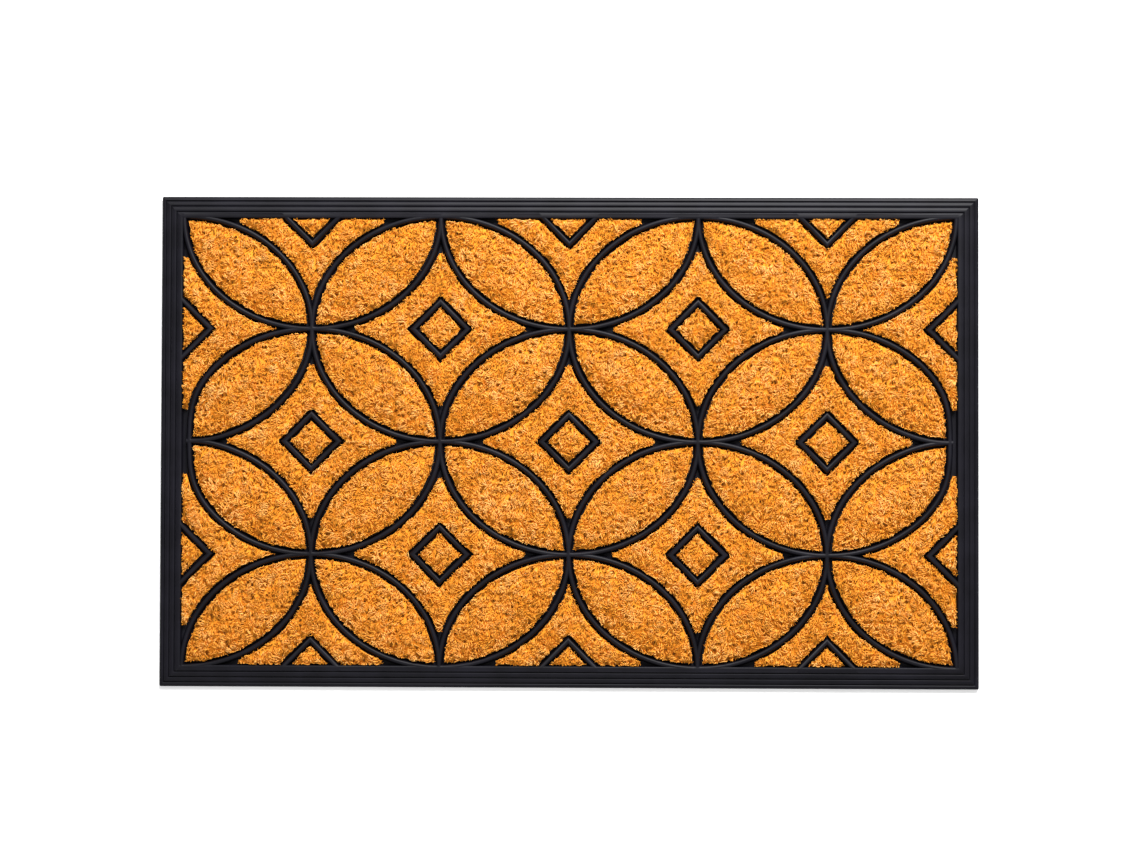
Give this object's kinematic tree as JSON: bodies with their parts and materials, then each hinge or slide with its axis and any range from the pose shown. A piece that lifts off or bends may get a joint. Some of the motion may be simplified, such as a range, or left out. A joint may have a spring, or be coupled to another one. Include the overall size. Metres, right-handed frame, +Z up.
{
  "type": "door mat",
  "caption": "Rectangular rubber door mat with coir pile pads set between raised lattice ribs and a stepped border, for wiping shoes at a doorway.",
  "frame": {"origin": "centre of the mat's outline on its underside, which lies on the floor", "axes": "+X along the long side, +Y along the short side, +Z up out of the pile"},
  "size_m": [0.75, 0.45, 0.011],
  "materials": {
    "black_rubber": "moulded charcoal black rubber, satin with a fine dull grain",
    "coir_pile": "natural orange-tan coir fibre, matte, short clumpy pile"
  },
  "bodies": {
    "root": {"diamond_pad_row1_col2": "coir_pile", "diamond_pad_row1_col4": "coir_pile", "diamond_pad_row2_col1": "coir_pile", "diamond_pad_row2_col3": "coir_pile", "diamond_pad_row2_col5": "coir_pile", "diamond_pad_row3_col2": "coir_pile", "diamond_pad_row3_col4": "coir_pile", "half_diamond_pad_far_1": "coir_pile", "half_diamond_pad_far_2": "coir_pile", "half_diamond_pad_far_3": "coir_pile", "half_diamond_pad_left_1": "coir_pile", "half_diamond_pad_left_2": "coir_pile", "half_diamond_pad_near_1": "coir_pile", "half_diamond_pad_near_2": "coir_pile", "half_diamond_pad_near_3": "coir_pile", "half_diamond_pad_right_1": "coir_pile", "half_diamond_pad_right_2": "coir_pile", "half_star_pad_far_1": "coir_pile", "half_star_pad_far_2": "coir_pile", "half_star_pad_far_3": "coir_pile", "half_star_pad_left_1": "coir_pile", "half_star_pad_left_2": "coir_pile", "half_star_pad_near_1": "coir_pile", "half_star_pad_near_2": "coir_pile", "half_star_pad_near_3": "coir_pile", "half_star_pad_right_1": "coir_pile", "half_star_pad_right_2": "coir_pile", "petal_pad_row1_col1": "coir_pile", "petal_pad_row1_col2": "coir_pile", "petal_pad_row1_col3": "coir_pile", "petal_pad_row1_col4": "coir_pile", "petal_pad_row1_col5": "coir_pile", "petal_pad_row1_col6": "coir_pile", "petal_pad_row2_col1": "coir_pile", "petal_pad_row2_col2": "coir_pile", "petal_pad_row2_col3": "coir_pile", "petal_pad_row2_col4": "coir_pile", "petal_pad_row2_col5": "coir_pile", "petal_pad_row2_col6": "coir_pile", "petal_pad_row3_col1": "coir_pile", "petal_pad_row3_col2": "coir_pile", "petal_pad_row3_col3": "coir_pile", "petal_pad_row3_col4": "coir_pile", "petal_pad_row3_col5": "coir_pile", "petal_pad_row3_col6": "coir_pile", "petal_pad_row4_col1": "coir_pile", "petal_pad_row4_col2": "coir_pile", "petal_pad_row4_col3": "coir_pile", "petal_pad_row4_col4": "coir_pile", "petal_pad_row4_col5": "coir_pile", "petal_pad_row4_col6": "coir_pile", "rubber_moulding": "black_rubber", "star_pad_row1_col2": "coir_pile", "star_pad_row1_col4": "coir_pile", "star_pad_row2_col1": "coir_pile", "star_pad_row2_col3": "coir_pile", "star_pad_row2_col5": "coir_pile", "star_pad_row3_col2": "coir_pile", "star_pad_row3_col4": "coir_pile"}
  },
  "joints": []
}
